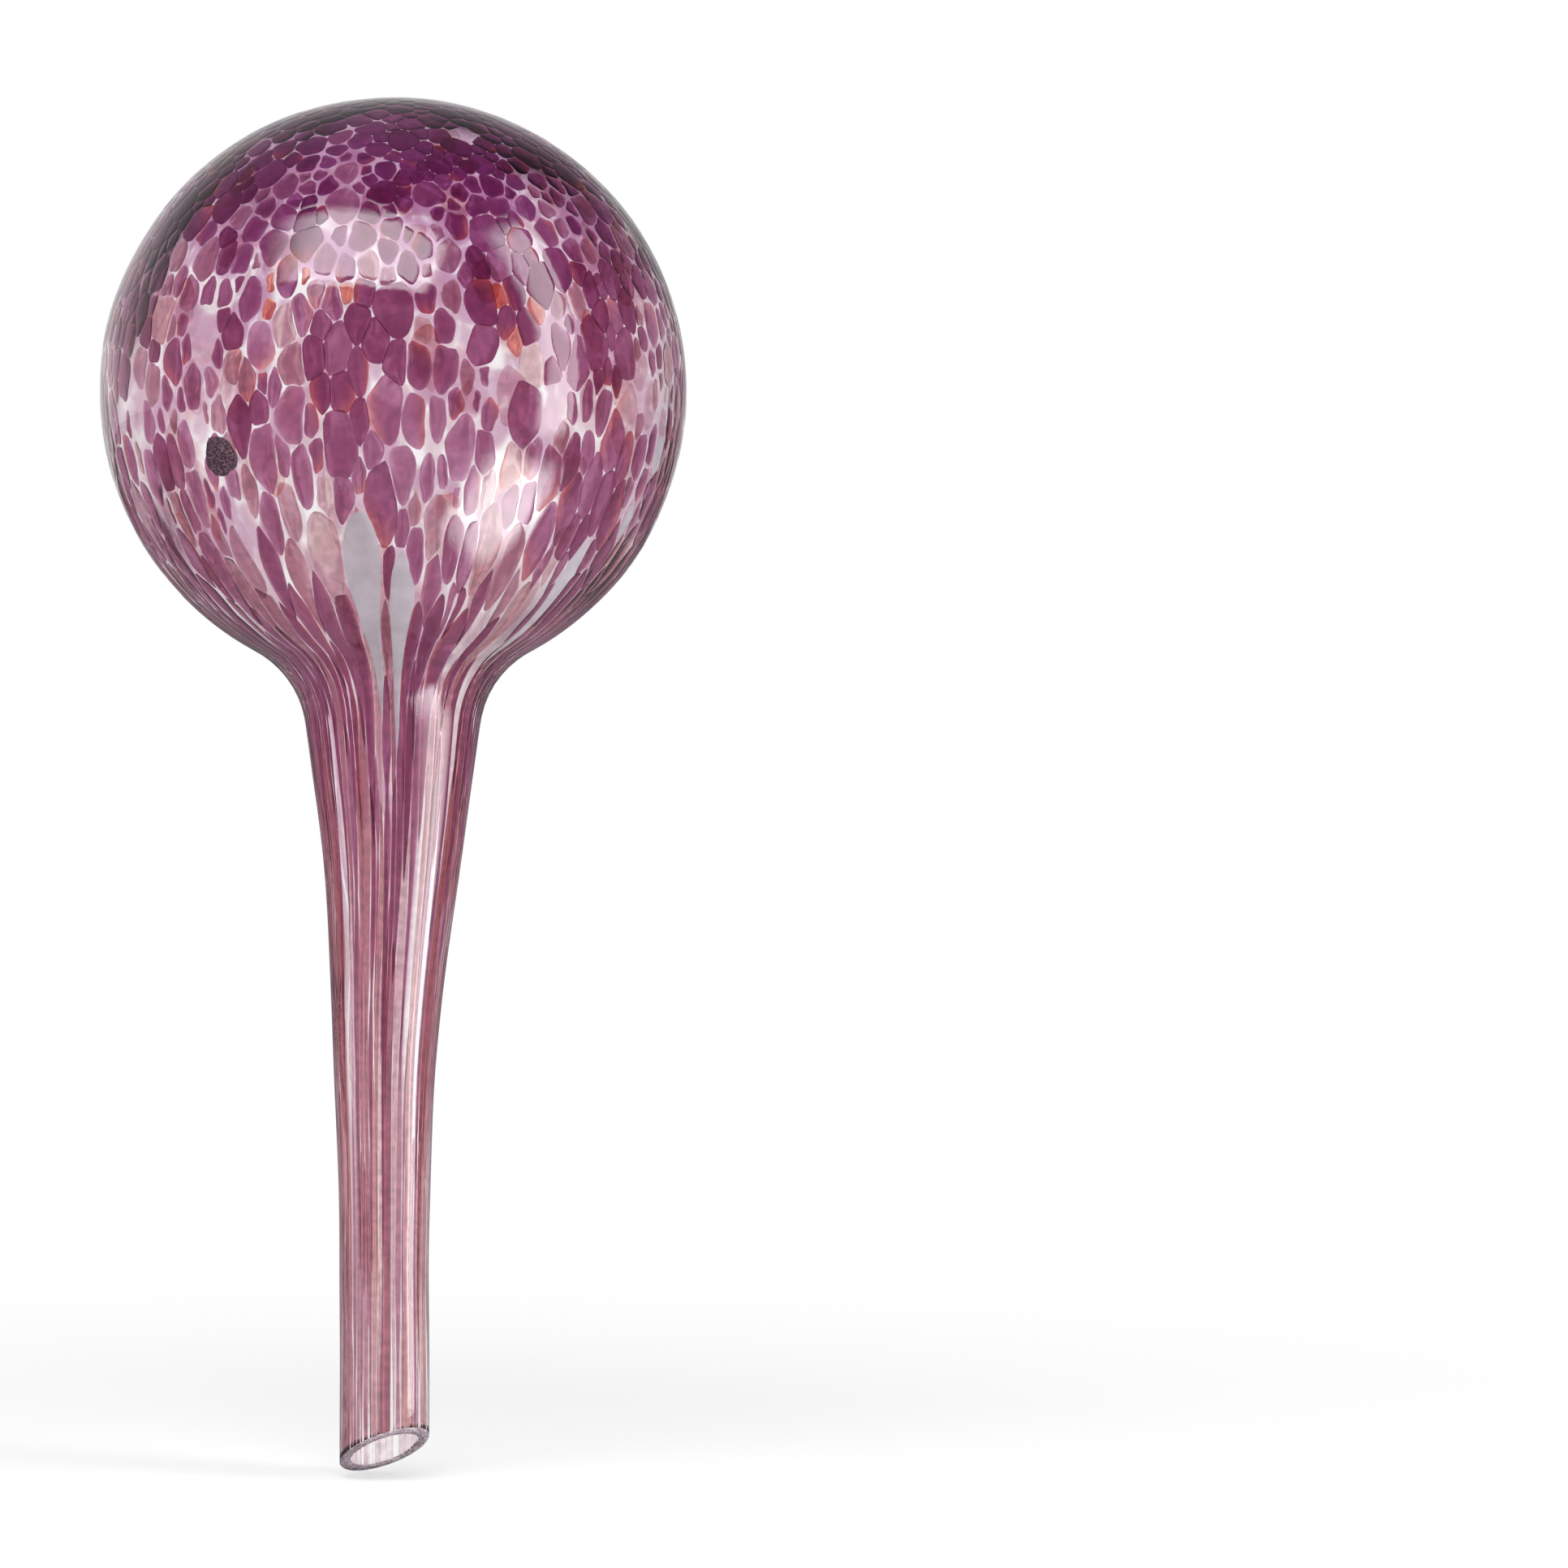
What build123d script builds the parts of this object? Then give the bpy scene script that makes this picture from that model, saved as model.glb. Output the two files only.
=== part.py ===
"""Blown-glass watering globe.

A hollow bulb is drawn out into a neck and an open stem, which is cut off at a slant.
Chips of coloured glass are fused on the outside of the clear wall: round on the crown,
oval round the belt, long on the shoulder, and drawn out into streaks down the stem.
The origin is on the stem's axis, at the top of its straight stretch, with +Z up.
"""

import os
from math import asin, atan, cos, degrees, pi, radians, sin, tan

from build123d import *

# Clear glass, in millimetres
bulb_diameter = 60.0  # outside
shoulder_radius = 10.0  # of the hollow curve from the bulb into the neck
throat_diameter = 18.0  # outside, where that curve ends
neck_length = 57.0  # from the throat down to the straight stem
stem_diameter = 9.15  # outside
stem_length = 20.2  # straight stretch, down to the point of the cut
glass_wall = 1.2

# Slanted cut at the mouth, in degrees
cut_slant = 30.2  # away from square
cut_heading = -57.8  # the way the cut face looks, turned from +X

# Coloured chips, in millimetres
frit_thickness = 0.15  # how far a chip stands proud of the wall
frit_gap = 1.2  # clear glass between two chips
chip_width = 7.0
crown_chip_height = 6.6
belt_chip_height = 10.0
shoulder_chip_height = 13.5
chip_corners = 8

# Where the crown's and the belt's chips end, in degrees down from the crown
crown_end = 58.0
belt_end = 97.0

# Streaks, in millimetres
streak_count = 10  # in each of the two rows, one row between the other
streak_gap = 0.4  # between two streaks at the stem
neck_streak_rise = 5.0  # how far the upper row reaches above the throat
neck_streak_length = 50.0
stem_streak_length = 44.0
streak_tip = 4.0  # length of the point at each end
streak_clearance = 0.5  # from the lower row's feet to the straight stem, which stays smooth

# The one dark chip
dark_chip_size = 4.0  # in millimetres
dark_polar = 105.6  # down from the crown, in degrees
dark_heading = -125.9  # turned from +X, in degrees

# Sizes that follow
bulb_radius = bulb_diameter / 2
throat_radius = throat_diameter / 2
stem_radius = stem_diameter / 2
neck_slope = 2 * atan((throat_radius - stem_radius) / neck_length)
neck_radius = neck_length / sin(neck_slope)
shoulder_reach = bulb_radius + shoulder_radius
shoulder_turn = asin((throat_radius + shoulder_radius * cos(neck_slope)) / shoulder_reach)
shoulder_height = neck_length - shoulder_radius * sin(neck_slope)
bulb_height = shoulder_height + shoulder_reach * cos(shoulder_turn)
cut_rise = stem_radius * tan(radians(cut_slant))
chip_reach = shoulder_chip_height / 4
streak_reach = throat_radius - stem_radius / 2
golden_share = (5**0.5 - 1) / 2


def outline(inset):
    """Draws the right half of the glass, crown to tip, moved in by inset."""
    turn, slope = degrees(shoulder_turn), degrees(neck_slope)
    shoulder_centre = (shoulder_reach * sin(shoulder_turn), shoulder_height)
    CenterArc((0, bulb_height), bulb_radius - inset, 90, turn - 180)
    CenterArc(shoulder_centre, shoulder_radius + inset, 90 + turn, 90 - turn - slope)
    CenterArc((stem_radius + neck_radius, 0), neck_radius + inset, 180 - slope, slope)
    Line((stem_radius - inset, 0), (stem_radius - inset, -stem_length))


def revolved_skin(outer_inset, inner_inset):
    """Solid of revolution between two outlines."""
    crown = bulb_height + bulb_radius
    with BuildPart() as shell:
        with BuildSketch(Plane.XZ):
            with BuildLine():
                outline(outer_inset)
                outline(inner_inset)
                Line((0, crown - outer_inset), (0, crown - inner_inset))
                Line((stem_radius - outer_inset, -stem_length), (stem_radius - inner_inset, -stem_length))
            make_face()
        revolve(axis=Axis.Z)
    return shell.part


def bulb_plane(polar, heading):
    """Plane that touches the bulb: polar is down from the crown, local y points up the bulb."""
    normal = Vector(sin(polar) * cos(heading), sin(polar) * sin(heading), cos(polar))
    east = Vector(-sin(heading), cos(heading), 0)
    return Plane(Vector(0, 0, bulb_height) + normal * bulb_radius, x_dir=east, z_dir=normal)


def stem_plane(heading):
    """Upright plane before the stem: local y is the height above the origin."""
    outward = Vector(cos(heading), sin(heading), 0)
    east = Vector(-sin(heading), cos(heading), 0)
    return Plane(outward * throat_radius, x_dir=east, z_dir=outward)


def chip_rows(start, end, chip_height):
    """Plane, width and height of each chip in the rows that fill the bulb between two polar angles.

    The first chip of the top row lies in line with the dark chip.
    """
    chips = []
    rows = max(1, round(bulb_radius * (end - start) / chip_height))
    step = (end - start) / rows
    for row in range(rows):
        polar = start + step * (row + 0.5)
        round_length = 2 * pi * bulb_radius * sin(polar)
        count = round(round_length / chip_width)
        for i in range(count):
            heading = radians(dark_heading) + 2 * pi * (i + golden_share * row) / count
            plane = bulb_plane(polar, heading)
            chips.append((plane, round_length / count - frit_gap, bulb_radius * step - frit_gap))
    return chips


def chip_points(width, height):
    """Corners of a chip: an oval with flat sides towards its neighbours."""
    reach = 1 / cos(pi / chip_corners)
    turns = [2 * pi * (k + 0.5) / chip_corners for k in range(chip_corners)]
    return [(width / 2 * reach * cos(t), height / 2 * reach * sin(t)) for t in turns]


def streak_points(top, length):
    """Corners of a streak: pointed at both ends and narrower towards the foot."""
    foot_width = pi * stem_diameter / (2 * streak_count) - streak_gap
    head_width = foot_width * throat_diameter / stem_diameter
    left = [
        (0, top),
        (-head_width / 2, top - streak_tip),
        (-foot_width / 2, top - length + streak_tip),
        (0, top - length),
    ]
    right = [(-x, y) for x, y in reversed(left[1:3])]
    return left + right


# Clear vessel, cut off at a slant
cut_tilt, cut_turn = radians(cut_slant), radians(cut_heading)
cut_normal = Vector(sin(cut_tilt) * cos(cut_turn), sin(cut_tilt) * sin(cut_turn), -cos(cut_tilt))
cut_plane = Plane((0, 0, cut_rise - stem_length), z_dir=cut_normal)

with BuildPart() as glass_vessel:
    add(revolved_skin(0, glass_wall))
    split(bisect_by=cut_plane, keep=Keep.BOTTOM)

# Layer outside the clear wall that every chip and streak is cut from
frit_layer = revolved_skin(-frit_thickness, 0)

# Chips on the bulb, row by row down from the one at the pole
pole_chip = (bulb_plane(0, 0), crown_chip_height - frit_gap, crown_chip_height - frit_gap)
pole_end = crown_chip_height / bulb_diameter
crown_chips = [pole_chip] + chip_rows(pole_end, radians(crown_end), crown_chip_height)
belt_chips = chip_rows(radians(crown_end), radians(belt_end), belt_chip_height)
shoulder_chips = chip_rows(radians(belt_end), pi - shoulder_turn, shoulder_chip_height)

# The dark chip lies where the nearest shoulder chip would be
dark_plane = bulb_plane(radians(dark_polar), radians(dark_heading))
shoulder_chips.sort(key=lambda chip: (chip[0].origin - dark_plane.origin).length)
del shoulder_chips[0]
dark_chip = (dark_plane, dark_chip_size, dark_chip_size)


def fused_chips(chips):
    """Solids of the given chips, cut from the layer."""
    with BuildPart() as group:
        for plane, width, height in chips:
            with BuildSketch(plane):
                Polygon(*chip_points(width, height), align=None)
        extrude(amount=chip_reach, both=True)
        add(frit_layer, mode=Mode.INTERSECT)
    return group.part


# Streaks down the neck and the stem
with BuildPart() as stem_streaks:
    neck_top = neck_length + neck_streak_rise
    stem_top = streak_clearance + stem_streak_length
    for i in range(streak_count):
        with BuildSketch(stem_plane(2 * pi * i / streak_count)):
            Polygon(*streak_points(neck_top, neck_streak_length), align=None)
        with BuildSketch(stem_plane(2 * pi * (i + 0.5) / streak_count)):
            Polygon(*streak_points(stem_top, stem_streak_length), align=None)
    extrude(amount=streak_reach, both=True)
    add(frit_layer, mode=Mode.INTERSECT)

pieces = {
    "glass_vessel": glass_vessel.part,
    "crown_frit": fused_chips(crown_chips),
    "belt_frit": fused_chips(belt_chips),
    "shoulder_frit": fused_chips(shoulder_chips),
    "dark_chip": fused_chips([dark_chip]),
    "stem_streaks": stem_streaks.part,
}
os.makedirs("parts", exist_ok=True)
for name, piece in pieces.items():
    piece.label = name
    export_step(piece, f"parts/{name}.step")
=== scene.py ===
"""Blown-glass watering globe: clear vessel, fused purple chips and streaks, on a white studio floor."""

from math import asin, atan, cos, pi, radians, sin, tan

import bpy
import numpy as np
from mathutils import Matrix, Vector, noise


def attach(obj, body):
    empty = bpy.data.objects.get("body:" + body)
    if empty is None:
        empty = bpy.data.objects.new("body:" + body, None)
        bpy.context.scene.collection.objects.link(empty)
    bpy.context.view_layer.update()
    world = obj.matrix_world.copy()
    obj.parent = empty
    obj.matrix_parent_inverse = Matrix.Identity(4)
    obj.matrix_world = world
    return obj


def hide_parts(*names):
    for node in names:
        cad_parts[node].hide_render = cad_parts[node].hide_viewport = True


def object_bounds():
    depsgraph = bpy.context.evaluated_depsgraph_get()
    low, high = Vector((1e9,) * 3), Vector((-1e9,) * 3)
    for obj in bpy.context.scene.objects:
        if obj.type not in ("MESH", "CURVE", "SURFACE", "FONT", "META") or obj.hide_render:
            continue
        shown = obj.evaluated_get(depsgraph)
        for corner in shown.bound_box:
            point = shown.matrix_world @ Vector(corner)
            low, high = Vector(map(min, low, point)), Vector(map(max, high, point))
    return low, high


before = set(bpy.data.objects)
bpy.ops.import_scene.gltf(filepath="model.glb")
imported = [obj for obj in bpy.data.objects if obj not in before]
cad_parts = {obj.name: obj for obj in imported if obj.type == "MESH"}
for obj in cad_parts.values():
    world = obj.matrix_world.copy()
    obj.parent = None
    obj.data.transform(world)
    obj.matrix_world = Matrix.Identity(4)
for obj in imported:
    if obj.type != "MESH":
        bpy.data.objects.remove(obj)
cad_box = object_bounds()

MM = 0.001
random = np.random.default_rng(11)

# Clear glass, in millimetres
bulb_radius = 30.0
shoulder_radius = 10.0
throat_radius = 9.0
neck_length = 57.0
stem_radius = 4.575
stem_length = 20.2
glass_wall = 1.2
cut_slant = radians(30.2)
cut_heading = radians(-57.8)
rim_bevel = 0.12  # ground off both edges of the mouth
stem_drift = -0.9  # the drawn stem runs this far to the left of the bulb's axis
drift_top, drift_foot = 48.0, 19.0  # heights between which it leans over

# Unevenness of hand-blown glass, in millimetres
wave_count = 8
wave_lengths = (9.0, 24.0)
outer_wave = 0.015
inner_wave = 0.05

# Values whose names end in _at are stops: millimetres down the outline from the pole, and what holds there

# Size of the coloured chips, in millimetres
chip_width = 2.15
chip_height_at = (
    (0, 2.2),
    (22, 2.4),
    (32, 2.9),
    (47, 3.9),
    (58, 5.0),
    (68, 7.2),
    (78, 12.0),
    (88, 20.0),
    (105, 34.0),
    (125, 44.0),
)
stem_streaks_round = 70  # streaks side by side round the stem
chip_proud = 0.02  # of the belt's chips; narrower ones are flatter
chip_sunk = 0.02
chip_lift = 0.008  # by which chips lie higher or lower than others
tongue_lift = 0.03  # by which the tongues of painted reflection lie over their neighbours
buried_depth = (0.22, 0.32)  # of the top and underside of a chip inside the wall

# Places of the chips, in millimetres down the outline from the pole
crown_limit = 26.0  # chips above this are laid out round their own middle, those below it in rows
ribbon_start = 66.0  # chips below this are drawn out into ribbons that follow the bends of the glass
zone_ends = {"crown_frit": 30.0, "belt_frit": 58.0, "shoulder_frit": 80.0, "stem_streaks": 200.0}

# Ribbons, in millimetres
ribbon_step = 1.2
ribbon_ends = (0.1, 0.35)  # closer steps next to both tips
ribbon_least = 3.0  # shorter ones are left out at the mouth

# Clear glass between the chips, in millimetres
chip_gap = (0.02, 0.30)  # least and most
gap_skew = 1.5  # the higher, the more chips have a small gap
gap_at = ((0, 0.15), (20, 0.25), (34, 0.75), (50, 0.85), (80, 1.2), (100, 1.8))  # times as wide
narrow_gap = 1.3  # narrow chips have this times their share of the full width
gap_patch = 7.5  # across the patches in which chips lie closer or farther apart
gap_noise = (-0.18, 0.38)  # noise of the closest and loosest patches
gap_change = (0.05, 3.4)  # times as wide there
fused_limit_at = ((18, 3.5), (23, 1.6), (30, 0.6), (36, 0.5))  # chips in closer patches run together
fused_overlap = 0.1

# How the chips lie, in chips
chip_sizes = {1.55: 220, 1.25: 1100, 1.0: 3500, 0.8: 6500, 0.62: 8000}  # size: how many are thrown
buried_sizes = {1.3: 900, 0.9: 2000}  # the same for chips inside the wall
chip_spacing = 0.80  # least distance between two chips of size 1
chip_reach_at = ((60, 0.76), (85, 1.4))  # farthest that a chip of size 1 spreads
least_reach = 0.1
tongue_spread = 1.22  # by which the tongues of painted reflection reach over their neighbours
neighbour_limit = 4.0  # chips farther off than this don't matter to each other
clear_share_at = ((28, 0.01), (42, 0.06), (80, 0.08), (140, 0.16))  # of the places that have no chip
buried_share_at = ((70, 0.28), (100, 0.1))  # of the places inside the wall that have one

# Outlines of the chips
corner_power_at = ((60, 6.5), (75, 9.0), (95, 16.0))  # the higher, the sharper the corners
patch_corners = ((0.3, 2.0), (1.5, 0.9))  # looseness of patches of the bulb: times as sharp there
tongue_corners = 0.45  # times as sharp on the tongues of painted reflection
ribbon_tail = 0.3  # by which the lower tips of ribbons are drawn out
tongue_tail = 1.0  # the same of the tongues of painted reflection
tail_power = 8  # the higher, the narrower that tip
edge_wobbles = ((3, 0.05), (5, 0.045))  # waves round an edge: how many, and their height
wobble_turn = 6.0  # by which they are turned at most, in radians

# Tongues of milky grey glass, a painted reflection where bare clear glass shows the grey of its
# surroundings: millimetres down the outline, heading in degrees, size in chips
reflection_tongues = (
    (67.0, -97.0, 2.2),
    (71.0, -88.0, 1.45),
    (54.3, -24.7, 1.05),
    (68.5, -41.0, 1.15),
    (61.5, -29.0, 0.8),
)

# Places with amber chips and fringes: millimetres down the outline, heading in degrees, reach in millimetres
amber_places = (
    (39.0, -106.0, 5.0),
    (41.5, -65.0, 3.5),
    (55.0, -66.0, 3.0),
)
amber_share = 0.85  # of the chips there that have a fringe
amber_size = 0.7  # chips there that are smaller than this are amber all over

# Colours of light that has passed a chip of thickness 1, on crown, belt and stem, and how often they occur
tone_places = (24.0, 42.0, 85.0, 135.0)  # down the outline; the belt's colours hold between the middle two
chip_tones = {
    "plum": ((0.44, 0.15, 0.37), (0.46, 0.18, 0.32), (0.48, 0.24, 0.32), 0.66),
    "mauve": ((0.53, 0.24, 0.42), (0.60, 0.34, 0.41), (0.70, 0.41, 0.41), 0.26),
    "rose": ((0.60, 0.32, 0.46), (0.74, 0.52, 0.54), (0.85, 0.70, 0.71), 0.08),
}
fused_tone = "plum"
amber_tone = np.array((0.84, 0.35, 0.30))
buried_tone = np.array((0.86, 0.70, 0.73))
reflection_tone = np.array((0.70, 0.62, 0.68))  # kept with the points of the painted-reflection tongues, whose material has its own painted grey
fringe_share_at = ((60, 0.25), (95, 0.5))  # of the chips that have an amber fringe
fringe_strength = 0.8
fringe_power = 3  # the higher, the narrower the fringe

# Thickness of the chips as far as their colour goes; 1 is the belt's
chip_thickness_at = (
    (0, 0.42),
    (10, 0.54),
    (20, 1.4),
    (32, 1.2),
    (60, 1.0),
    (85, 1.25),
    (110, 1.28),
    (150, 0.85),
)
thickness_spread = (0.8, 1.25)  # times as thick, from chip to chip
fused_thickness = 1.15  # times as thick where chips run together
painted_light_back_at = ((24, 0.55), (40, 0.39), (70, 0.39), (100, 0.3))  # painted light: chips on the far side are thinner, so paler, standing in for the light that makes the gaps between chips look white; times as thick there
back_limits = (-0.8, 0.3)  # sines of the headings between which the far side starts
edge_fade_at = ((18, 0.2), (34, 0.4))  # by which loose chips are thinner at their edge

# Stray dark grain fused to the outside, in millimetres
grain_size = 4.0
grain_height = 0.3
grain_down = bulb_radius * radians(105.6)
grain_heading = radians(-125.9)
grain_sunk = 0.3  # share of its height by which it goes into the glass
grain_dome = 3  # the higher, the flatter its top
grain_lumps = ((3, 0.06, 1.0), (5, 0.04, 0.0), (9, 0.03, 2.0))  # waves round it: how many, height, turn
grit_scale = 2.6  # bumps on its top to the millimetre
grit_share = 0.5  # of its height by which they rise and fall

# Sizes that follow
neck_slope = 2 * atan((throat_radius - stem_radius) / neck_length)
neck_radius = neck_length / sin(neck_slope)
shoulder_reach = bulb_radius + shoulder_radius
shoulder_turn = asin((throat_radius + shoulder_radius * cos(neck_slope)) / shoulder_reach)
shoulder_height = neck_length - shoulder_radius * sin(neck_slope)
bulb_height = shoulder_height + shoulder_reach * cos(shoulder_turn)
cut_height = stem_radius * tan(cut_slant) - stem_length
equator = bulb_radius * pi / 2
bulb_end = bulb_radius * (pi - shoulder_turn)
shoulder_end = bulb_end + shoulder_radius * (pi / 2 - shoulder_turn - neck_slope)
neck_end = shoulder_end + neck_radius * neck_slope
tip_end = neck_end + stem_length


# Shape of the glass


def smoothstep(low, high, x):
    share = np.clip((x - low) / (high - low), 0, 1)
    return share * share * (3 - 2 * share)


def along(stops, x):
    """Value at x between stops, each with an x and a value."""
    return np.interp(x, *zip(*stops))


def outline(down):
    """Radius, height and outward normal of the glass, down millimetres along its outside from the pole."""
    down = np.asarray(down, float)
    polar = down / bulb_radius
    turn = pi / 2 + shoulder_turn + (down - bulb_end) / shoulder_radius
    lean = pi - neck_slope + (down - shoulder_end) / neck_radius
    parts = [down <= bulb_end, down <= shoulder_end, down <= neck_end]
    shoulder_x = shoulder_reach * sin(shoulder_turn)
    radius = np.select(
        parts,
        [
            bulb_radius * np.sin(polar),
            shoulder_x + shoulder_radius * np.cos(turn),
            stem_radius + neck_radius * (1 + np.cos(lean)),
        ],
        stem_radius,
    )
    height = np.select(
        parts,
        [
            bulb_height + bulb_radius * np.cos(polar),
            shoulder_height + shoulder_radius * np.sin(turn),
            neck_radius * np.sin(lean),
        ],
        neck_end - down,
    )
    normal_out = np.select(parts, [np.sin(polar), -np.cos(turn), -np.cos(lean)], 1.0)
    normal_up = np.select(parts, [np.cos(polar), -np.sin(turn), -np.sin(lean)], 0.0)
    return radius, height, normal_out, normal_up


def make_waves(height):
    """Gentle waves in all directions: their steps, phases and height."""
    steps = random.normal(size=(wave_count, 3))
    lengths = random.uniform(*wave_lengths, wave_count)
    steps *= (2 * pi / lengths / np.linalg.norm(steps, axis=1))[:, None]
    return steps, 2 * pi * random.random(wave_count), height


outer_waves = make_waves(outer_wave)
inner_waves = make_waves(inner_wave)


def surface(down, heading, rise, waves=outer_waves):
    """Points at rise millimetres outside the glass, in metres."""
    radius, height, normal_out, normal_up = outline(down)
    flat = np.stack(np.broadcast_arrays(radius * np.cos(heading), radius * np.sin(heading), height), -1)
    steps, phases, wave_height = waves
    rise = rise + wave_height * np.sin(flat @ steps.T + phases).sum(-1)
    reach = radius + normal_out * rise
    z = height + normal_up * rise
    x = reach * np.cos(heading) + stem_drift * (1 - smoothstep(drift_foot, drift_top, z))
    return np.stack([x, reach * np.sin(heading), z], -1) * MM


def cut_down(heading, inset=0.0):
    """How far down the outline the slanted cut is."""
    height = cut_height + tan(cut_slant) * (stem_radius - inset) * np.cos(heading - cut_heading)
    return neck_end - height


def new_piece(name, points, faces, *materials):
    mesh = bpy.data.meshes.new(name)
    mesh.from_pydata(points.tolist(), [], faces)
    mesh.polygons.foreach_set("use_smooth", [True] * len(mesh.polygons))
    for material in materials:
        mesh.materials.append(material)
    mesh.update()
    piece = bpy.data.objects.new(name, mesh)
    bpy.context.scene.collection.objects.link(piece)
    return piece


def ring_faces(first, second, count):
    """Quads between two rings of vertices, numbered from first and second."""
    faces = []
    for i in range(count):
        following = (i + 1) % count
        faces.append((first + i, second + i, second + following, first + following))
    return faces


# Materials

glass_index = 1.5  # of refraction
same_index = 1.0  # of glass to the glass round it


class Nodes:
    """Short ways to add and link the nodes of a material, light or world."""

    def __init__(self, owner):
        owner.use_nodes = True
        self.tree = owner.node_tree

    def __getitem__(self, name):
        return self.tree.nodes[name]

    def add(self, kind, settings=(), **inputs):
        """New node; inputs go by their names, or by their numbers as i0, i1 and so on."""
        node = self.tree.nodes.new("ShaderNode" + kind)
        for key, value in dict(settings).items():
            setattr(node, key, value)
        for key, value in inputs.items():
            number = key[1:]
            self.feed(node.inputs[int(number) if number.isdigit() else key.replace("_", " ")], value)
        return node

    def feed(self, socket, value):
        if isinstance(value, bpy.types.NodeSocket):
            self.tree.links.new(value, socket)
        else:
            socket.default_value = value

    def math(self, operation, first, second):
        return self.add("Math", {"operation": operation}, i0=first, i1=second).outputs[0]

    def between(self, value, low, high, to_low, to_high):
        """Smooth step of a value from one range to another."""
        span = {"From_Min": low, "From_Max": high, "To_Min": to_low, "To_Max": to_high}
        return self.add("MapRange", {"interpolation_type": "SMOOTHSTEP"}, Value=value, **span).outputs[0]

    def grain(self, scale, detail=2.0):
        """Noise that is fixed to the object, in features to the metre."""
        here = self.add("TexCoord").outputs["Object"]
        return self.add("TexNoise", Vector=here, Scale=scale, Detail=detail).outputs["Fac"]

    def bump(self, height, distance, strength):
        return self.add("Bump", Height=height, Distance=distance, Strength=strength).outputs["Normal"]

    def ramp(self, value, low, low_color, high, high_color):
        """Colour that goes from one to another between two values."""
        node = self.add("ValToRGB", Fac=value)
        first, last = node.color_ramp.elements
        first.position = low
        first.color = (*low_color, 1)
        last.position = high
        last.color = (*high_color, 1)
        return node.outputs["Color"]

    def mirrored(self, path):
        """1 for what is seen in a reflection, 0 for what is seen through the glass."""
        return self.math("SUBTRACT", path["Is Glossy Ray"], path["Is Transmission Ray"])


def principled(name, **values):
    material = bpy.data.materials.new(name)
    nodes = Nodes(material)
    shader = nodes["Principled BSDF"]
    for key, value in values.items():
        shader.inputs[key.replace("_", " ")].default_value = value
    return material, nodes, shader


def rippled_glass(name, roughness, scale, distance, strength):
    """Clear glass with faint ripples."""
    glass = {"Roughness": roughness, "IOR": glass_index, "Transmission_Weight": 1.0}
    material, nodes, shader = principled(name, Base_Color=(0.995, 0.985, 0.99, 1), **glass)
    nodes.feed(shader.inputs["Normal"], nodes.bump(nodes.grain(scale), distance, strength))
    return material


def clear_glass_material():
    """The smooth outside."""
    return rippled_glass("clear_glass", roughness=0.0, scale=260.0, distance=0.00004, strength=0.25)


def inner_glass_material():
    """The fire-polished inside, hazier than the outside."""
    return rippled_glass("inner_glass", roughness=0.1, scale=300.0, distance=0.00005, strength=0.3)


def ground_glass_material():
    """Frosted cut of the mouth."""
    glass = {"Roughness": 0.45, "IOR": glass_index, "Transmission_Weight": 0.4}
    material, nodes, shader = principled("ground_glass", **glass)
    grit = nodes.grain(scale=3200.0, detail=4.0)
    color = nodes.ramp(grit, 0.40, (0.28, 0.17, 0.24), 0.66, (0.80, 0.72, 0.76))
    nodes.feed(shader.inputs["Base Color"], color)
    nodes.feed(shader.inputs["Normal"], nodes.bump(grit, distance=0.0001, strength=0.8))
    return material


def purple_glass_material(name, index):
    """Coloured glass: each chip's own tint, a little uneven; its index is that to what is round it."""
    glass = {"Roughness": 0.01, "IOR": index, "Transmission_Weight": 1.0}
    material, nodes, shader = principled(name, **glass)
    tint = nodes.add("Attribute", {"attribute_name": "tint"}).outputs["Color"]
    cloud = nodes.grain(scale=1100.0, detail=3.0)
    depth = nodes.between(cloud, low=0.3, high=0.7, to_low=0.86, to_high=1.06)
    shade = nodes.add("VectorMath", {"operation": "SCALE"}, i0=tint, Scale=depth).outputs[0]
    nodes.feed(shader.inputs["Base Color"], shade)
    ripples = nodes.grain(scale=700.0)
    nodes.feed(shader.inputs["Normal"], nodes.bump(ripples, distance=0.00004, strength=0.25))
    return material


def reflection_glass_material():
    """Milky grey glass: a painted reflection, standing in for the grey that bare clear glass shows of its
    surroundings.
    """
    glass = {"Roughness": 0.3, "IOR": glass_index, "Transmission_Weight": 0.6}
    material, nodes, shader = principled("painted_reflection_glass", **glass)
    cloud = nodes.grain(scale=600.0, detail=3.0)
    # painted reflection: the grey that the tongues show
    color = nodes.ramp(cloud, 0.3, (0.45, 0.41, 0.45), 0.7, (0.57, 0.52, 0.57))
    nodes.feed(shader.inputs["Base Color"], color)
    return material


def dark_glass_material():
    """Gritty dark grain."""
    material, nodes, shader = principled("dark_glass", Roughness=0.55, IOR=glass_index)
    grit = nodes.grain(scale=5200.0, detail=4.0)
    color = nodes.ramp(grit, 0.44, (0.024, 0.008, 0.017), 0.64, (0.19, 0.09, 0.13))
    nodes.feed(shader.inputs["Base Color"], color)
    nodes.feed(shader.inputs["Normal"], nodes.bump(grit, distance=0.0002, strength=0.8))
    return material


# Clear vessel

vessel_columns = 160
outer_rows, inner_rows = 210, 110  # from the pole to the straight stem
outer_stem_rows, inner_stem_rows = 30, 14
rim_ring = 0.997  # a ring so close to the mouth's edge keeps the wall smooth up to it
outside, ground, inside = range(3)  # numbers of the vessel's materials


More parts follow.
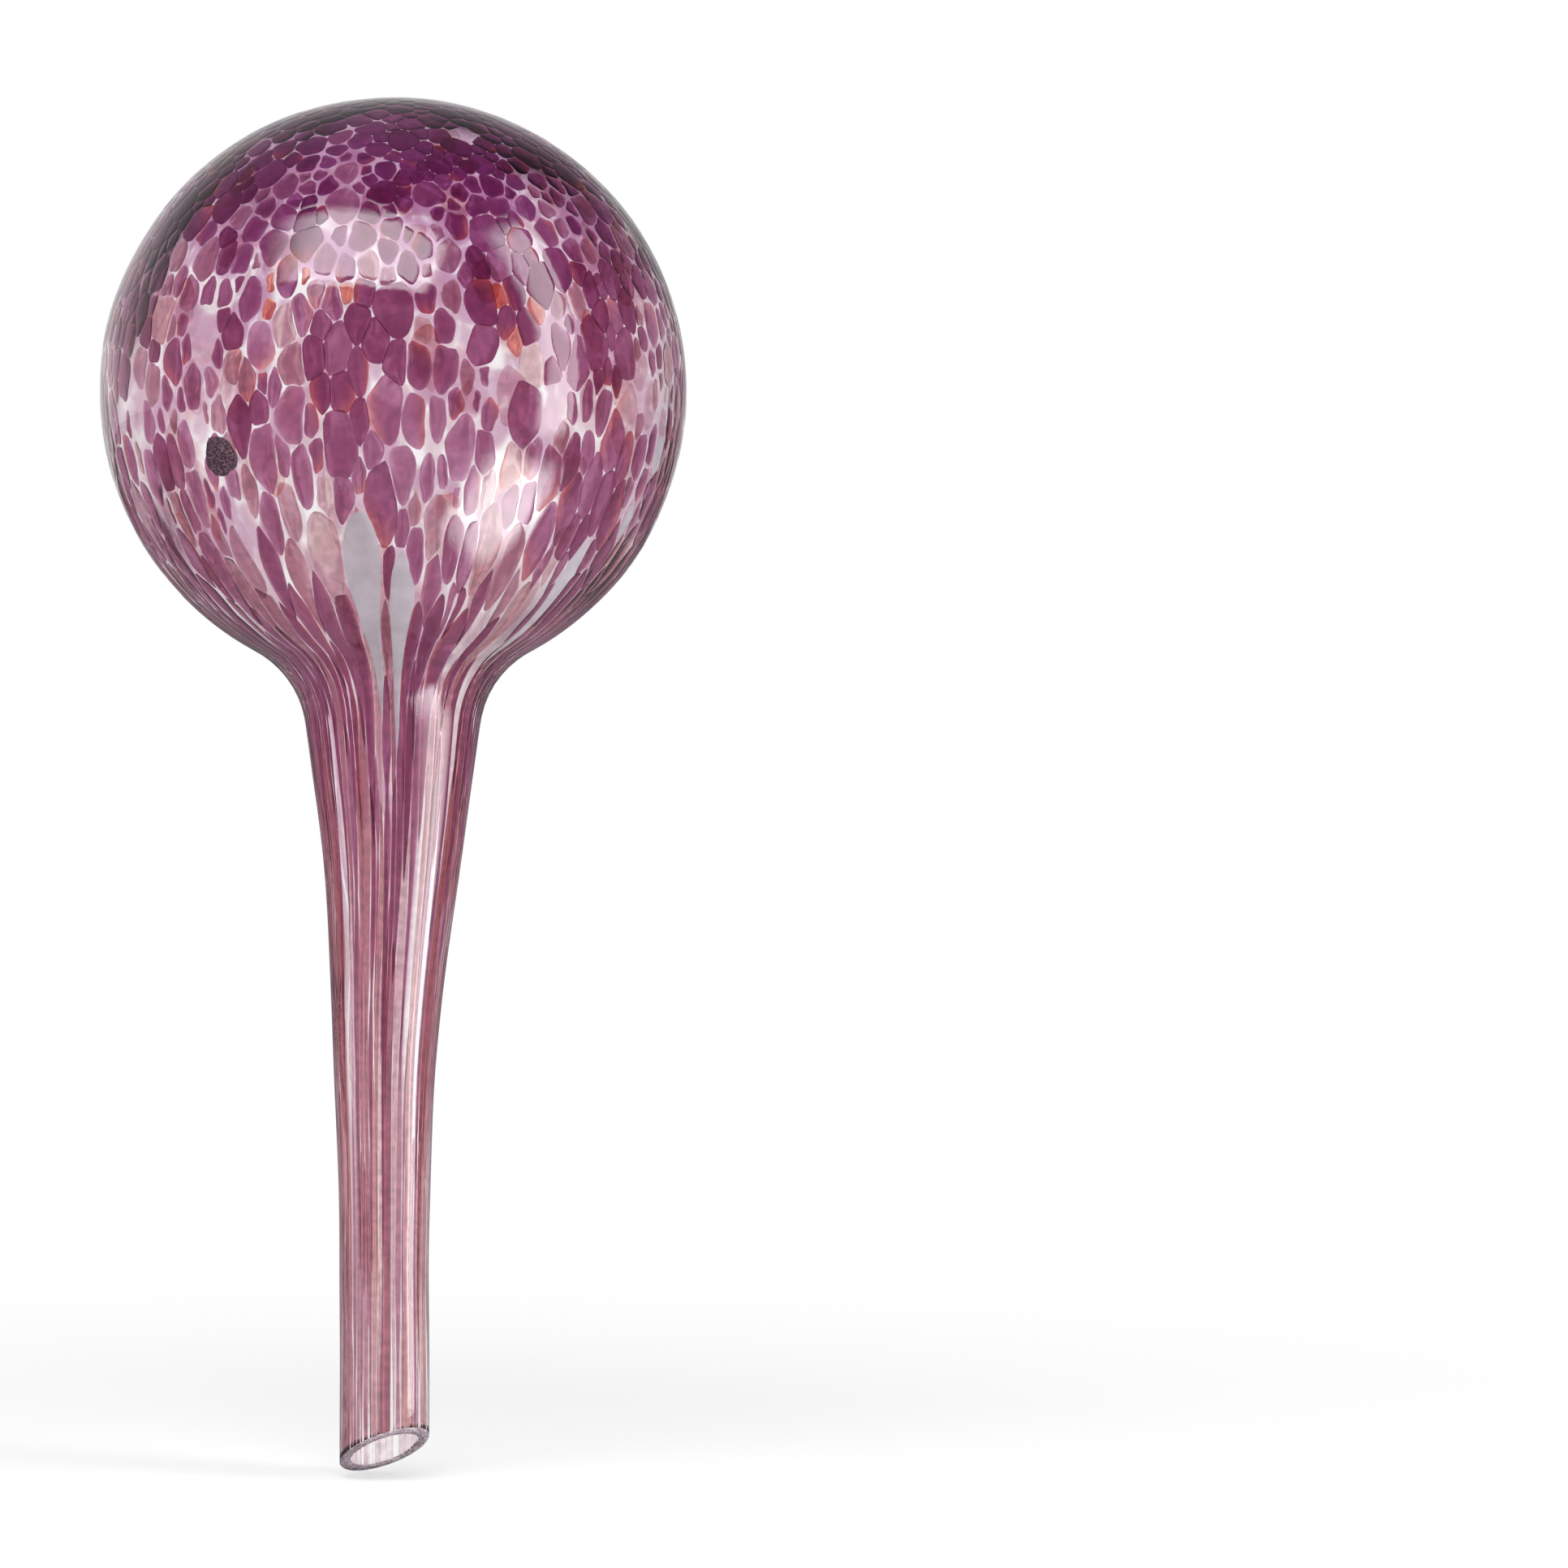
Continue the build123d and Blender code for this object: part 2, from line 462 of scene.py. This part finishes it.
def wall_rings(inset, rows, stem_rows, heading, waves):
    """Rings of one side of the wall, from the pole to the edge of the mouth."""
    foot = cut_down(heading, inset) - rim_bevel
    upper = [np.full(vessel_columns, down) for down in np.linspace(0, neck_end, rows)[1:]]
    shares = np.append(np.linspace(0, 1, stem_rows)[1:-1], (rim_ring, 1))
    lower = [neck_end + share * (foot - neck_end) for share in shares]
    return [surface(ring, heading, -inset, waves) for ring in upper + lower]


def vessel():
    """Clear wall: down the outside, across the ground rim and back up the inside."""
    heading = np.linspace(0, 2 * pi, vessel_columns, endpoint=False)
    rings = wall_rings(0.0, outer_rows, outer_stem_rows, heading, outer_waves)
    outer_count = len(rings)
    for inset in (rim_bevel, glass_wall - rim_bevel):
        rings.append(surface(cut_down(heading, inset), heading, -inset))
    rings += wall_rings(glass_wall, inner_rows, inner_stem_rows, heading, inner_waves)[::-1]
    poles = [surface(0.0, 0.0, 0.0), surface(0.0, 0.0, -glass_wall, inner_waves)]
    faces = []
    for row in range(len(rings) - 1):
        faces += ring_faces(row * vessel_columns, (row + 1) * vessel_columns, vessel_columns)
    top = len(rings) * vessel_columns
    under = top + 1
    last = top - vessel_columns
    for i in range(vessel_columns):
        following = (i + 1) % vessel_columns
        faces.append((top, i, following))
        faces.append((under, last + following, last + i))
    points = np.concatenate(rings + [np.array(poles)])
    materials = (clear_glass_material(), ground_glass_material(), inner_glass_material())
    piece = new_piece("globe_vessel", points, faces, *materials)
    rim_start, rim_end = (outer_count - 1) * vessel_columns, (outer_count + 2) * vessel_columns
    finish = np.full(len(faces), outside)
    finish[rim_start:rim_end] = ground
    finish[rim_end:last] = inside
    finish[last + 1 :: 2] = inside  # faces at the outer and inner pole take turns
    piece.data.polygons.foreach_set("material_index", finish)
    return piece


# Places of the chips

chart_steps = 4000
chart_past = 40.0  # millimetres by which the chart goes on below the tip
scatter_past = 10.0  # millimetres below the tip to which chips are thrown
tiny = 1e-9  # keeps a chip's middle from a division by zero

chart_down = np.linspace(0, tip_end + chart_past, chart_steps)
chart_height = along(chip_height_at, chart_down)
chart_step = np.diff(chart_down) / chart_height[1:]
chart_row = np.concatenate([[0], np.cumsum(chart_step)])


def chips_round(down):
    """How many chips fit side by side round the glass."""
    on_bulb = 2 * pi * outline(np.minimum(down, equator))[0] / chip_width
    at_belt = 2 * pi * bulb_radius / chip_width
    drawn_out = smoothstep(equator, shoulder_end + shoulder_radius, down)
    return on_bulb + (stem_streaks_round - at_belt) * drawn_out


chart_spread = chips_round(chart_down) / (2 * pi)
chart_climb = np.sqrt(np.maximum(chart_step**2 - np.diff(chart_spread) ** 2, 0))
chart_lift = np.concatenate([[0], np.cumsum(chart_climb)])


def in_chips(down, heading):
    """Points on a drawn-out copy of the glass, on which all chips are round and one unit wide."""
    spread = np.interp(down, chart_down, chart_spread)
    lift = np.interp(down, chart_down, chart_lift)
    return np.stack([spread * np.cos(heading), spread * np.sin(heading), lift], -1)


def scatter(throws_of_size, chips):
    """Outline places, headings and sizes: the given chips, then large ones, small ones in what is left."""
    weight = chart_spread / chart_height
    weight[chart_down > tip_end + scatter_past] = 0
    share = np.cumsum(weight) / weight.sum()
    points = in_chips(chips[:, 0], chips[:, 1])
    for size, throws in throws_of_size.items():
        downs = np.interp(random.random(throws), share, chart_down)
        thrown = np.stack([downs, 2 * pi * random.random(throws), np.full(throws, size)], 1)
        for chip, point in zip(thrown, in_chips(thrown[:, 0], thrown[:, 1])):
            near = chips[((points - point) ** 2).sum(1) < neighbour_limit**2]
            x, y = steps_to(chip[0], chip[1], near[:, 0], near[:, 1])
            if (np.hypot(x, y) > chip_spacing * (size + near[:, 2]) / 2).all():
                chips = np.vstack([chips, chip])
                points = np.vstack([points, point])
    return chips, points


def steps_to(down, heading, downs, headings):
    """Steps from one place to others, in chips: sideways and down."""
    aside = (headings - heading + pi) % (2 * pi) - pi
    if down < crown_limit:
        polar, others = down / bulb_radius, downs / bulb_radius
        x = np.sin(others) * np.sin(aside)
        y = np.sin(others) * np.cos(aside) * cos(polar) - np.cos(others) * sin(polar)
        return x * bulb_radius / chip_width, y * bulb_radius / along(chip_height_at, down)
    rows = np.interp(downs, chart_down, chart_row) - np.interp(down, chart_down, chart_row)
    return aside * chips_round(down) / (2 * pi), rows


def place(down, heading, x, y):
    """Outline place and heading of points x chips aside of and y chips below a chip's middle."""
    if down < crown_limit:
        polar = down / bulb_radius
        east, south = x * chip_width / bulb_radius, y * along(chip_height_at, down) / bulb_radius
        angle = np.hypot(east, south) + tiny
        east_share, south_share = east / angle, south / angle
        out = np.cos(angle) * sin(polar) + np.sin(angle) * south_share * cos(polar)
        up = np.cos(angle) * cos(polar) - np.sin(angle) * south_share * sin(polar)
        side = np.sin(angle) * east_share
        return bulb_radius * np.arctan2(np.hypot(out, side), up), heading + np.arctan2(side, out)
    row = np.interp(down, chart_down, chart_row) + y
    downs = np.interp(row, chart_row, chart_down)
    return downs, heading + x * 2 * pi / chips_round(down)


# Chips

chip_sides = 24
directions = np.linspace(0, 2 * pi, chip_sides, endpoint=False)
edge_power = 6  # the higher, the flatter a chip is up to its edge
on_glass, in_wall, painted_reflection = range(3)  # numbers of the chips' materials; the last is the painted reflection of the grey tongues

# Rings of a chip, out to its edge and back in, as shares of its reach
chip_rings = np.array((0.5, 0.84, 0.95, 1.0, 0.95, 0.84))
buried_rings = np.array((0.8, 1.0, 0.8))
grain_rings = np.array((0.2, 0.4, 0.6, 0.75, 0.88, 0.97, 1.0, 0.6))
grain_tops = 6  # how many of the grain's rings are on its top

# Points across a ribbon, as shares of half its width
ribbon_across = np.array((0.94, 0.5, -0.5, -0.94, -1.0, -0.6, 0.6, 1.0))
ribbon_tops = 4  # how many of them are on its top


def closed_faces(rings, sides):
    """Faces of a closed body: a point, rings of so many sides, and a point at the other end."""
    faces = [(1 + (i + 1) % sides, 1 + i, 0) for i in range(sides)]
    for ring in range(rings - 1):
        band = ring_faces(1 + ring * sides, 1 + (ring + 1) * sides, sides)
        faces += [face[::-1] for face in band]
    last = 1 + rings * sides
    first = last - sides
    return faces + [(first + i, first + (i + 1) % sides, last) for i in range(sides)]


def looseness(down, heading):
    """How wide the gaps are in the patch round a place; 1 is the common width."""
    patch = noise.noise(Vector(surface(down, heading, 0.0)) / (gap_patch * MM))
    return np.interp(patch, gap_noise, gap_change)


def fused(down, heading):
    """Whether chips run together in the patch round a place."""
    return down < ribbon_start and looseness(down, heading) < along(fused_limit_at, down)


def column_width(down):
    """Width of the place for one chip, in millimetres."""
    return 2 * pi * outline(down)[0] / chips_round(down)


def cell(index, chips, points, sharpness):
    """Reach of a chip in each direction, in chips: to its neighbours' borders, with rounded corners."""
    down, heading, size = chips[index]
    near = ((points - points[index]) ** 2).sum(1) < neighbour_limit**2
    near[index] = False
    x, y = steps_to(down, heading, chips[near, 0], chips[near, 1])
    share = size / (size + chips[near, 2])
    pull = np.outer(np.cos(directions), x) + np.outer(np.sin(directions), y)
    border = np.maximum(pull / (share * (x**2 + y**2)), 0)
    own = 1 / (along(chip_reach_at, down) * size)
    corner_power = sharpness * along(corner_power_at, down)
    if down < ribbon_start:
        corner_power *= along(patch_corners, looseness(down, heading))
    return ((border**corner_power).sum(1) + own**corner_power) ** (-1 / corner_power)


def uneven(reach, down, heading):
    """The same reach less a gap, with an uneven edge."""
    width = column_width(down)
    length = np.hypot(width * np.cos(directions), along(chip_height_at, down) * np.sin(directions))
    least, most = chip_gap
    gap = least + (most - least) * random.random() ** gap_skew
    gap *= min(1.0, width / chip_width * narrow_gap)
    gap *= along(gap_at, down)
    loose = looseness(down, heading)
    gap = -fused_overlap if fused(down, heading) else gap * loose
    wobble = np.zeros(chip_sides)
    for waves, wave_height in edge_wobbles:
        wobble += wave_height * np.sin(waves * directions + wobble_turn * random.random())
    return np.maximum((reach - gap / 2 / length) * (1 + wobble * min(1.0, loose)), least_reach)


def chip_shape(index, chips, points, sharpness=1.0):
    """Reach of a chip in each direction, and whether enough of it lies above the mouth."""
    down, heading, _ = chips[index]
    reach = uneven(cell(index, chips, points, sharpness), down, heading)
    highest = place(down, heading, 0.0, -reach.max())[0]
    return reach, highest < cut_down(heading) - ribbon_least


def lens(down, heading, reach, top, under, rings):
    """A chip that is flat nearly to its rounded edge: points, faces, shares of its reach, directions."""
    x = np.outer(rings, reach * np.cos(directions))
    y = np.outer(rings, reach * np.sin(directions))
    downs, headings = place(down, heading, x, y)
    edge = (top + under) / 2
    outward = np.arange(len(rings)) <= np.argmax(rings)
    rises = edge + (1 - rings**edge_power) * np.where(outward, top - edge, under - edge)
    shell = surface(downs, headings, rises[:, None]).reshape(-1, 3)
    points = np.vstack([surface(down, heading, top), shell, surface(down, heading, under)])
    edges = np.concatenate([[0], np.repeat(rings, chip_sides), [0]])
    around = np.concatenate([[0], np.tile(directions, len(rings)), [0]])
    return points, closed_faces(len(rings), chip_sides), edges, around


def ribbon(down, heading, reach, top, under):
    """A drawn-out chip, ring by ring from its upper tip to its lower tip or the cut; the same values."""
    x, y = reach * np.cos(directions), reach * np.sin(directions)
    upper_tip, lower_tip = np.argmin(y), np.argmax(y)
    order = (upper_tip + np.arange(chip_sides + 1)) % chip_sides
    turn = (lower_tip - upper_tip) % chip_sides
    right, left = order[: turn + 1], order[turn:][::-1]
    row = np.interp(down, chart_down, chart_row)
    start, end = np.interp(row + y[[upper_tip, lower_tip]], chart_row, chart_down)
    foot = cut_down(heading) - rim_bevel - ribbon_step / 2
    last = min(end, foot)
    near, next_to = ribbon_ends
    middle_count = max(2, int((last - start) / ribbon_step))
    middle = np.linspace(start + ribbon_step, last - ribbon_step, middle_count)
    downs = np.concatenate([[start + near, start + next_to], middle, [last - next_to, last - near]])
    levels = np.interp(downs, chart_down, chart_row) - row
    left_x = np.interp(levels, np.maximum.accumulate(y[left]), x[left])[:, None]
    right_x = np.interp(levels, np.maximum.accumulate(y[right]), x[right])[:, None]
    column = 2 * pi / chips_round(down)
    headings = heading + column * ((left_x + right_x) / 2 + ribbon_across * (right_x - left_x) / 2)
    downs = np.repeat(downs[:, None], len(ribbon_across), 1)
    tips = [heading + column * x[upper_tip], heading + column * x[lower_tip]]
    if end > foot:
        headings = np.vstack([headings, headings[-1]])
        downs = np.vstack([downs, cut_down(headings[-1]) - rim_bevel])
        end, tips[1] = downs[-1].mean(), headings[-1].mean()
    edge = (top + under) / 2
    over = np.where(np.arange(len(ribbon_across)) < ribbon_tops, top - edge, under - edge)
    rises = edge + (1 - np.abs(ribbon_across) ** edge_power) * over
    shell = surface(downs, headings, rises).reshape(-1, 3)
    points = np.vstack([surface(start, tips[0], edge), shell, surface(end, tips[1], edge)])
    edges = np.concatenate([[1], np.tile(np.abs(ribbon_across), len(downs)), [1]])
    around = np.concatenate([[0], np.tile(np.where(ribbon_across > 0, 0, pi), len(downs)), [0]])
    return points, closed_faces(len(downs), len(ribbon_across)), edges, around


def chip_colors(tone, thickness, fade, fringe_share, edges, around):
    """Colour of each point of a chip: thinner, so paler, at the edge, and at times amber on one side."""
    colors = tone ** (thickness * (1 - fade * edges[:, None] ** edge_power))
    if random.random() < fringe_share:
        toward = np.cos(around - 2 * pi * random.random())
        fringe = fringe_strength * edges**fringe_power * np.clip(toward, 0, 1)
        colors += (amber_tone**thickness - colors) * fringe[:, None]
    return colors


class Zone:
    """Chips of one zone, gathered into one piece: points, faces, edges, colours and materials."""

    def __init__(self):
        self.points = []
        self.faces = []
        self.edges = []
        self.colors = []
        self.finishes = []
        self.count = 0

    def add(self, points, faces, edges, colors, finish):
        self.faces += [tuple(self.count + i for i in face) for face in faces]
        self.finishes += [finish] * len(faces)
        self.points.append(points)
        self.edges.append(edges)
        self.colors.append(colors)
        self.count += len(points)

    def piece(self, name, materials):
        piece = new_piece(name, np.concatenate(self.points), self.faces, *materials)
        colors = np.concatenate(self.colors)
        attribute = piece.data.attributes.new("tint", "FLOAT_COLOR", "POINT")
        attribute.data.foreach_set("color", np.hstack([colors, np.ones((len(colors), 1))]).ravel())
        piece.data.polygons.foreach_set("material_index", np.array(self.finishes, int))
        ends = np.empty(2 * len(piece.data.edges), int)
        piece.data.edges.foreach_get("vertices", ends)
        sharp = (np.concatenate(self.edges) == 1)[ends].reshape(-1, 2).all(1)
        piece.data.edges.foreach_set("use_edge_sharp", sharp)
        return piece


def chip_tone(name, down):
    """Colour of the named tone at a place down the outline."""
    on_crown, on_belt, on_stem, _ = chip_tones[name]
    tones = zip(on_crown, on_belt, on_belt, on_stem)
    return np.array([np.interp(down, tone_places, channel) for channel in tones])


amber_spots = np.array([surface(down, radians(turn), 0.0) for down, turn, _ in amber_places])
amber_reaches = np.array([reach for _, _, reach in amber_places]) * MM


def near_amber(down, heading):
    """Whether a chip lies at one of the amber places."""
    steps = amber_spots - surface(down, heading, 0.0)
    return (np.linalg.norm(steps, axis=1) < amber_reaches).any()


def chip_body(down, heading, reach, finish):
    """A chip on the glass or in its wall: points, faces, shares of its reach, directions."""
    flatness = min(1.0, column_width(down) / chip_width)
    lift = tongue_lift if finish == painted_reflection else random.uniform(-chip_lift, chip_lift)
    top, under = flatness * (chip_proud + lift), flatness * (lift - chip_sunk)
    if finish == in_wall:
        top, under = -buried_depth[0], -buried_depth[1]
    if down < ribbon_start:
        return lens(down, heading, reach, top, under, buried_rings if finish == in_wall else chip_rings)
    tail = tongue_tail if finish == painted_reflection else ribbon_tail
    drawn = 1 + tail * np.maximum(np.sin(directions), 0) ** tail_power
    return ribbon(down, heading, reach * drawn, top, under)


def add_chip(zones, chip, reach, tone, finish):
    """Adds one chip to its zone; the finish is the number of its material."""
    down, heading, _ = chip
    points, faces, edges, around = chip_body(down, heading, reach, finish)
    thickness = along(chip_thickness_at, down) * random.uniform(*thickness_spread)
    if fused(down, heading):
        thickness *= fused_thickness
    # painted light: chips towards the far side are paler, standing in for the light that makes the gaps look
    # white
    painted_light_back = along(painted_light_back_at, down)
    thickness *= 1 - (1 - painted_light_back) * smoothstep(*back_limits, sin(heading))
    fringe_share = amber_share if near_amber(down, heading) else along(fringe_share_at, down)
    fade = along(edge_fade_at, down) * min(1.0, looseness(down, heading))
    colors = chip_colors(tone, thickness, fade, fringe_share, edges, around)
    zone = zones[next(name for name, end in zone_ends.items() if down < end)]
    zone.add(points, faces, edges, colors, finish)


def frit():
    """Chips and streaks on the glass and inside its wall, one piece for each zone."""
    zones = {name: Zone() for name in zone_ends}
    names = list(chip_tones)
    shares = [tones[-1] for tones in chip_tones.values()]
    tongues = np.array(reflection_tongues) * (1, pi / 180, 1)  # headings in radians
    chips, points = scatter(chip_sizes, tongues)
    for index, chip in enumerate(chips):
        down, heading, size = chip
        is_tongue = index < len(tongues)
        reach, above_mouth = chip_shape(index, chips, points, tongue_corners if is_tongue else 1.0)
        clear = random.random() < along(clear_share_at, down)
        name = random.choice(names, p=shares)
        if fused(down, heading):
            name = fused_tone
        if is_tongue:
            # painted reflection: tongues of milky grey glass where the glass is bare and shows grey
            add_chip(zones, chip, tongue_spread * reach, reflection_tone, painted_reflection)
        elif above_mouth and not clear:
            amber = size < amber_size and near_amber(down, heading)
            add_chip(zones, chip, reach, amber_tone if amber else chip_tone(name, down), on_glass)
    chips, points = scatter(buried_sizes, np.empty((0, 3)))
    for index, chip in enumerate(chips):
        reach, above_mouth = chip_shape(index, chips, points)
        present = random.random() < along(buried_share_at, chip[0])
        if above_mouth and present:
            add_chip(zones, chip, reach, buried_tone, in_wall)
    materials = [
        purple_glass_material("purple_glass", glass_index),
        purple_glass_material("purple_glass_in_wall", same_index),
        reflection_glass_material(),
    ]
    return {name: zone.piece(name + "_glass", materials) for name, zone in zones.items()}


def dark_grain():
    """A stray lump of dark frit, gritty all over."""
    is_top = np.arange(len(grain_rings)) < grain_tops
    dome = grain_height * np.where(is_top, 1 - grain_rings**grain_dome, -grain_sunk)
    lumps = np.ones(chip_sides)
    for waves, lump_height, turn in grain_lumps:
        lumps += lump_height * np.sin(waves * directions + turn)
    reach = grain_size / 2 * lumps
    x = np.outer(grain_rings, reach * np.cos(directions))
    y = np.outer(grain_rings, reach * np.sin(directions))
    rises = np.repeat(dome[:, None], chip_sides, 1)
    for ring in range(grain_tops):
        for side in range(chip_sides):
            spot = Vector((x[ring, side], y[ring, side], 0)) * grit_scale
            rises[ring, side] *= 1 + grit_share * noise.noise(spot)
    shell = surface(grain_down + y, grain_heading + x / bulb_radius, rises).reshape(-1, 3)
    top = surface(grain_down, grain_heading, grain_height)
    under = surface(grain_down, grain_heading, -grain_sunk * grain_height)
    points = np.vstack([top, shell, under])
    return new_piece("dark_grain", points, closed_faces(len(grain_rings), chip_sides), dark_glass_material())


def dress(piece, node):
    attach(piece, "root")
    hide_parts(node)


dress(vessel(), "glass_vessel")
for zone, zone_piece in frit().items():
    dress(zone_piece, zone)
dress(dark_grain(), "dark_chip")


# Studio, in metres

floor_height = cad_box[0][2]
floor_gap = 0.0002  # below the globe
floor_size = 4.0
floor_paint = (0.85, 0.3)  # brightness as seen, and as mirrored in the glass
shadow_limits = (0.02, 0.22)  # distances from the globe between which the shadow fades
shadow_glow = 0.6  # share of plain white close to the globe

# Brightness of the surroundings: two directions along an axis, and the brightness at each
through_by_height = (0.15, 0.75, 1.0, 0.3)  # as seen through the glass
mirrored_by_depth = (-0.4, 0.8, 0.14, 0.8)  # as mirrored in the glass, times the next two
mirrored_by_side = (0.0, 0.6, 1.0, 0.3)
mirrored_by_height = (0.15, 0.8, 1.0, 0.36)


def studio_floor():
    """White floor: takes the shadow near the globe and is plain white farther off."""
    mesh = bpy.data.meshes.new("floor")
    corners = [(-floor_size, -floor_size, 0), (floor_size, -floor_size, 0)]
    corners += [(floor_size, floor_size, 0), (-floor_size, floor_size, 0)]
    mesh.from_pydata(corners, [], [(0, 1, 2, 3)])
    floor = bpy.data.objects.new("floor", mesh)
    floor.location.z = floor_height - floor_gap
    bpy.context.scene.collection.objects.link(floor)
    material = bpy.data.materials.new("floor")
    nodes = Nodes(material)
    nodes.tree.nodes.remove(nodes["Principled BSDF"])
    path = nodes.add("LightPath").outputs
    brightness = nodes.between(nodes.mirrored(path), 0.0, 1.0, *floor_paint)
    paint = nodes.add("BsdfDiffuse", Color=brightness).outputs[0]
    glow = nodes.add("Emission").outputs[0]
    seen = nodes.math("MAXIMUM", path["Is Camera Ray"], path["Is Transmission Ray"])
    here = nodes.add("TexCoord").outputs["Object"]
    far = nodes.add("VectorMath", {"operation": "LENGTH"}, i0=here).outputs["Value"]
    white = nodes.math("MULTIPLY", seen, nodes.between(far, *shadow_limits, shadow_glow, 1.0))
    mix = nodes.add("MixShader", i0=white, i1=paint, i2=glow).outputs[0]
    nodes.feed(nodes["Material Output"].inputs["Surface"], mix)
    mesh.materials.append(material)


def studio_world():
    """White to the camera and through the glass, grey in reflections, both darker overhead."""
    world = bpy.data.worlds.new("studio")
    bpy.context.scene.world = world
    nodes = Nodes(world)
    path = nodes.add("LightPath").outputs
    toward = nodes.add("SeparateXYZ", i0=nodes.add("TexCoord").outputs["Generated"]).outputs
    through = nodes.between(toward["Z"], *through_by_height)
    behind = nodes.between(toward["Y"], *mirrored_by_depth)
    beside = nodes.math("MULTIPLY", behind, nodes.between(toward["X"], *mirrored_by_side))
    reflected = nodes.math("MULTIPLY", beside, nodes.between(toward["Z"], *mirrored_by_height))
    grey = nodes.add("Mix", i0=nodes.mirrored(path), i2=through, i3=reflected).outputs[0]
    nodes.feed(nodes["Background"].inputs["Color"], nodes.math("MAXIMUM", path["Is Camera Ray"], grey))


def facing_bulb(azimuth, elevation, distance):
    """Place and rotation of a light panel; azimuth 0 is towards the camera, positive to the right."""
    turn, lift = radians(azimuth), radians(elevation)
    toward = Vector((sin(turn) * cos(lift), -cos(turn) * cos(lift), sin(lift)))
    return Vector((0, 0, bulb_height * MM)) + distance * toward, (pi / 2 - lift, 0, turn)


def softbox(name, location, rotation, size, power, soft, spread=180):
    """Light panel; soft is the share of it that fades at its left, right, lower and upper edge."""
    light = bpy.data.lights.new(name, "AREA")
    light.shape = "RECTANGLE"
    light.size, light.size_y = size
    light.energy = power
    light.spread = radians(spread)
    nodes = Nodes(light)
    across = nodes.add("SeparateXYZ", i0=nodes.add("NewGeometry").outputs["Parametric"]).outputs
    left, right, lower, upper = soft
    from_left = nodes.between(across["X"], 0, left, 0, 1)
    to_right = nodes.between(across["X"], 1 - right, 1, 1, 0)
    from_below = nodes.between(across["Y"], 0, lower, 0, 1)
    to_top = nodes.between(across["Y"], 1 - upper, 1, 1, 0)
    sides = nodes.math("MULTIPLY", from_left, to_right)
    ends = nodes.math("MULTIPLY", from_below, to_top)
    nodes.feed(nodes["Emission"].inputs["Strength"], nodes.math("MULTIPLY", sides, ends))
    lamp = bpy.data.objects.new(name, light)
    lamp.location = location
    lamp.rotation_euler = rotation
    lamp.visible_camera = False
    lamp.visible_transmission = False
    bpy.context.scene.collection.objects.link(lamp)


studio_floor()
studio_world()

# Panels above the globe and at its right side
top_light = facing_bulb(azimuth=-24, elevation=53, distance=0.5)
side_light = facing_bulb(azimuth=63, elevation=20, distance=0.25)
softbox("top_softbox", *top_light, size=(0.64, 0.28), power=4.1, soft=(0.4, 0.12, 0.08, 0.2))
softbox("side_softbox", *side_light, size=(0.095, 0.38), power=0.66, soft=(0.4, 0.1, 0.1, 0.15))

# Panel low at the right that looks up at the bulb; a narrow spread keeps it off the bulb's edge
low_light = (0.062, -0.063, 0.018), (radians(130), 0, radians(66))
softbox("low_softbox", *low_light, size=(0.075, 0.085), power=0.04, soft=(0.25, 0.2, 0.2, 0.2), spread=76)

# Strip beside the stem
stem_light_turn = radians(67)
stem_light_distance = 0.045
stem_light_height = 0.044  # above the floor
stem_light_x = stem_light_distance * sin(stem_light_turn)
stem_light_y = -stem_light_distance * cos(stem_light_turn)
stem_light_place = (stem_light_x, stem_light_y, floor_height + stem_light_height)
stem_light = stem_light_place, (pi / 2, 0, stem_light_turn)
softbox("stem_softbox", *stem_light, size=(0.022, 0.086), power=0.008, soft=(0.3, 0.3, 0.01, 0.3), spread=60)

# Camera, level with the middle of the globe, which stands left of the picture's middle
picture_side = 1932
bulb_x, bulb_y, bulb_pixels = 484.5, 484.0, 361.0
focal_length, sensor = 116.0, 36.0
camera_distance = bulb_radius * MM / bulb_pixels * picture_side * focal_length / sensor
camera_height = bulb_height * MM - (picture_side / 2 - bulb_y) / bulb_pixels * bulb_radius * MM
camera_data = bpy.data.cameras.new("camera")
camera_data.lens = focal_length
camera_data.sensor_width = sensor
camera_data.shift_x = 0.5 - bulb_x / picture_side
camera = bpy.data.objects.new("camera", camera_data)
camera.location = (0, -camera_distance, camera_height)
camera.rotation_euler = (pi / 2, 0, 0)
bpy.context.scene.collection.objects.link(camera)

scene = bpy.context.scene
scene.camera = camera
scene.view_settings.view_transform = "Standard"
scene.cycles.max_bounces = 40
scene.cycles.transmission_bounces = 40
scene.cycles.glossy_bounces = 12
